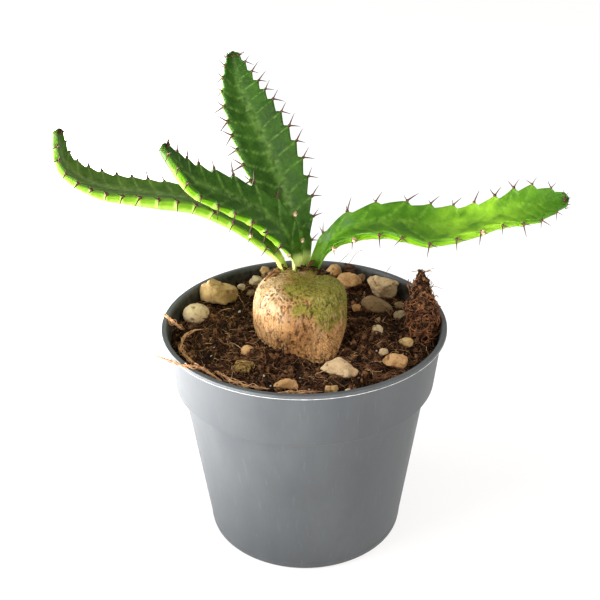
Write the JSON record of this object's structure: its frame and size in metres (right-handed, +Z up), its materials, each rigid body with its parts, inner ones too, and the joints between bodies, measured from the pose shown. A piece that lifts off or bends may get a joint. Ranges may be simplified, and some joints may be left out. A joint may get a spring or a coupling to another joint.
{
  "type": "potted euphorbia",
  "caption": "Caudex euphorbia with long spiny channelled stems, growing in peat with loose stones in a round tapered nursery pot.",
  "frame": {"origin": "centre of the pot's underside, on the surface that the pot stands on", "axes": "+Z up along the pot's axis; -Y is the front, the side from which the four stems spread left and right; +X is the right"},
  "size_m": [0.178, 0.1038, 0.1781],
  "materials": {
    "pot_plastic": "matte, slightly translucent grey polypropylene",
    "soil_peat": "dark brown damp peat mix with fibres and perlite",
    "caudex_bark": "rough cream to orange-brown bark with green moss",
    "stem_skin": "satin green skin, pale veins and edges, brown spines",
    "stone_pale": "rough, pale beige",
    "stone_tan": "rough, pinkish tan",
    "stone_ochre": "rough, ochre",
    "stone_brown": "smooth, olive brown",
    "stone_pumice": "pitted, grey beige",
    "bark": "rough dark bark",
    "root_fibre": "matted root fibre and peat",
    "coir": "dull orange-brown fibre"
  },
  "bodies": {
    "root": {"pot": "pot_plastic", "soil": "soil_peat", "caudex": "caudex_bark", "stem_upright": "stem_skin", "stem_left": "stem_skin", "stem_front": "stem_skin", "stem_right": "stem_skin", "stone_block": "stone_tan", "stone_egg": "stone_pale", "pebble_left_1": "stone_pale", "pebble_left_2": "stone_brown", "pebble_left_3": "stone_pale", "pebble_left_4": "stone_tan", "pebble_back": "stone_ochre", "stone_tan": "stone_ochre", "pebble_right_1": "stone_brown", "stone_pumice": "stone_pumice", "stone_long": "stone_brown", "pebble_right_2": "stone_brown", "pebble_right_3": "stone_pale", "pebble_right_4": "stone_brown", "pebble_right_5": "stone_ochre", "stone_chip_right": "stone_pale", "pebble_right_6": "stone_tan", "pebble_right_7": "stone_pumice", "stone_wedge_right": "stone_ochre", "stone_wedge_front": "stone_pumice", "stone_chip_front": "stone_ochre", "pebble_front_1": "stone_ochre", "fibre_chip": "coir", "pebble_front_2": "stone_tan", "pebble_front_3": "stone_pale", "wood_strip": "bark", "bark_chip_back": "bark", "bark_chip_left": "bark", "root_clod": "root_fibre", "coir_out_left": "coir", "coir_over_rim": "coir", "coir_loop_left": "coir", "coir_front_left": "coir", "coir_front": "coir"}
  },
  "joints": []
}
